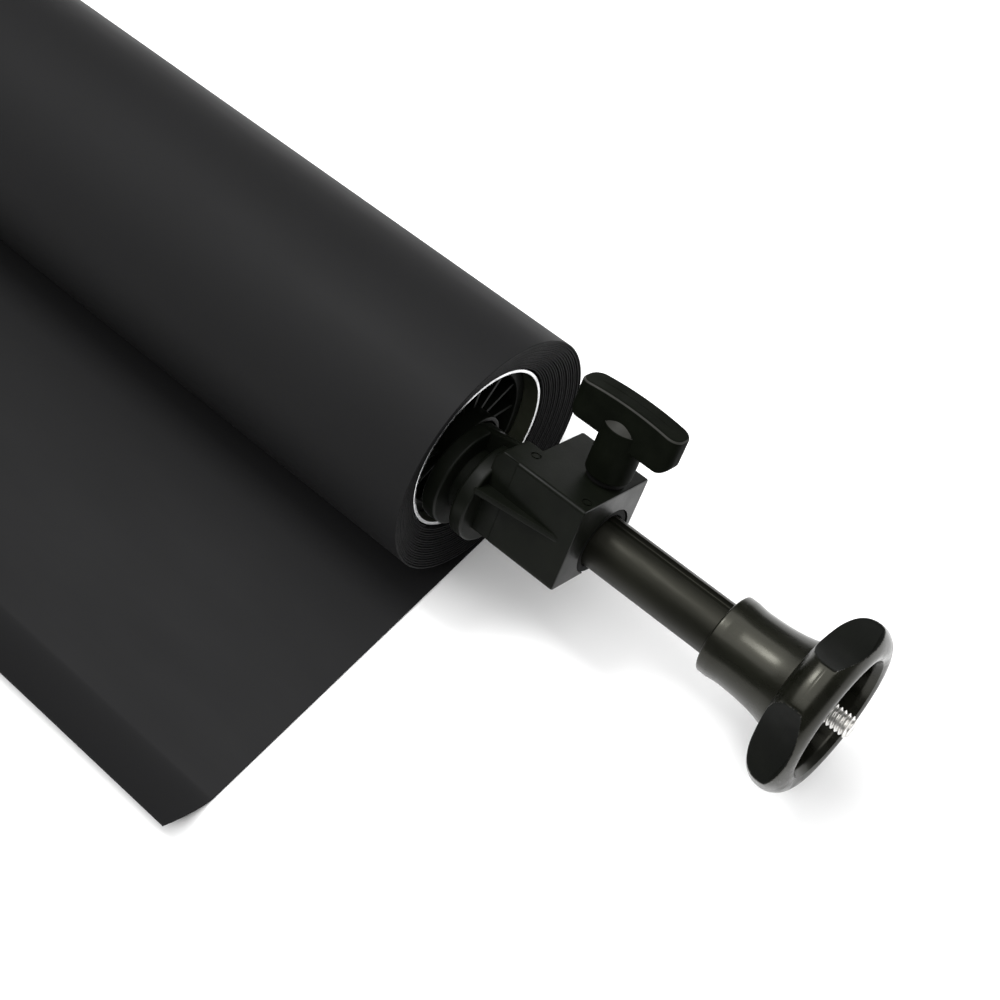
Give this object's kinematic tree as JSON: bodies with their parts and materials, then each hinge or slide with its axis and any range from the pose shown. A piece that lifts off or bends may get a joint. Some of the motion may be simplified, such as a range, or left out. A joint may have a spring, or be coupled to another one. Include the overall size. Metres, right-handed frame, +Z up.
{
  "type": "backdrop roll",
  "caption": "Wound matt backdrop sheet on a thin aluminium core, with a loose end, and at each end a finned plug, a clamp block with T-knob, a sliding keyed axle and a scalloped hand wheel.",
  "frame": {"origin": "middle of the footprint on the floor (centre of the bounding box in X and Y, its lowest plane in Z)", "axes": "+X along the roll towards the end shown in the picture, +Y away from the loose end, +Z up"},
  "size_m": [1.6062, 0.1686, 0.0771],
  "materials": {
    "vinyl": "satin-matt calendered vinyl",
    "aluminium": "bright drawn tube",
    "moulded_black": "semi-matt injection moulding",
    "gloss_black": "glossy moulding",
    "soft_black": "matt",
    "axle_black": "glossy black coated tube",
    "steel": "zinc plated",
    "bright_steel": "bright threaded stud",
    "brass": "turned"
  },
  "bodies": {
    "roll": {"core_tube": "aluminium", "backdrop_sheet": "vinyl", "core_plug_right": "moulded_black", "core_plug_left": "moulded_black"},
    "bracket_right": {"clamp_block_right": "moulded_black", "axle_bush_right": "gloss_black", "clamp_nut_right": "steel", "knob_spacer_right": "soft_black"},
    "axle_right": {"axle_rod_right": "axle_black", "axle_clip_right": "steel", "axle_insert_right": "soft_black", "thrust_washer_right": "steel"},
    "wheel_right": {"hand_wheel_right": "gloss_black", "mount_stud_right": "bright_steel", "stud_nut_right": "steel", "lock_nut_right": "steel"},
    "pad_right": {"clamp_pad_right": "brass"},
    "knob_right": {"knob_stud_right": "steel", "knob_handle_right": "moulded_black"},
    "bracket_left": {"clamp_block_left": "moulded_black", "axle_bush_left": "gloss_black", "clamp_nut_left": "steel", "knob_spacer_left": "soft_black"},
    "axle_left": {"axle_rod_left": "axle_black", "axle_clip_left": "steel", "axle_insert_left": "soft_black", "thrust_washer_left": "steel"},
    "wheel_left": {"hand_wheel_left": "gloss_black", "mount_stud_left": "bright_steel", "stud_nut_left": "steel", "lock_nut_left": "steel"},
    "pad_left": {"clamp_pad_left": "brass"},
    "knob_left": {"knob_stud_left": "steel", "knob_handle_left": "moulded_black"}
  },
  "joints": [
    {"name": "bracket_right_turn", "type": "hinge", "parent": "roll", "child": "bracket_right", "pos_m": [0.7045, 0.04592, 0.03846], "axis": [1, 0, 0], "continuous": true},
    {"name": "axle_right_slide", "type": "slide", "parent": "bracket_right", "child": "axle_right", "axis": [1, 0, 0], "range_m": [-0.035, 0.0145]},
    {"name": "wheel_right_turn", "type": "hinge", "parent": "axle_right", "child": "wheel_right", "pos_m": [0.7845, 0.04592, 0.03846], "axis": [1, 0, 0], "continuous": true},
    {"name": "clamp_right_travel", "type": "slide", "parent": "bracket_right", "child": "pad_right", "axis": [0, 0.503, 0.8643], "range_m": [0, 0.0031]},
    {"name": "knob_right_turn", "type": "hinge", "parent": "pad_right", "child": "knob_right", "pos_m": [0.7133, 0.05598, 0.05575], "axis": [0, 0.503, 0.8643], "range_deg": [0, 1080]},
    {"name": "bracket_left_turn", "type": "hinge", "parent": "roll", "child": "bracket_left", "pos_m": [-0.7045, 0.04592, 0.03846], "axis": [-1, 0, 0], "continuous": true},
    {"name": "axle_left_slide", "type": "slide", "parent": "bracket_left", "child": "axle_left", "axis": [-1, 0, 0], "range_m": [-0.035, 0.0145]},
    {"name": "wheel_left_turn", "type": "hinge", "parent": "axle_left", "child": "wheel_left", "pos_m": [-0.7845, 0.04592, 0.03846], "axis": [-1, 0, 0], "continuous": true},
    {"name": "clamp_left_travel", "type": "slide", "parent": "bracket_left", "child": "pad_left", "axis": [0, -0.503, 0.8643], "range_m": [0, 0.0031]},
    {"name": "knob_left_turn", "type": "hinge", "parent": "pad_left", "child": "knob_left", "pos_m": [-0.7133, 0.03586, 0.05575], "axis": [0, -0.503, 0.8643], "range_deg": [0, 1080]}
  ],
  "couplings": [
    {"joint": "clamp_right_travel", "follows": "knob_right_turn", "m_per_rad": 0.00015915},
    {"joint": "clamp_left_travel", "follows": "knob_left_turn", "m_per_rad": 0.00015915}
  ]
}
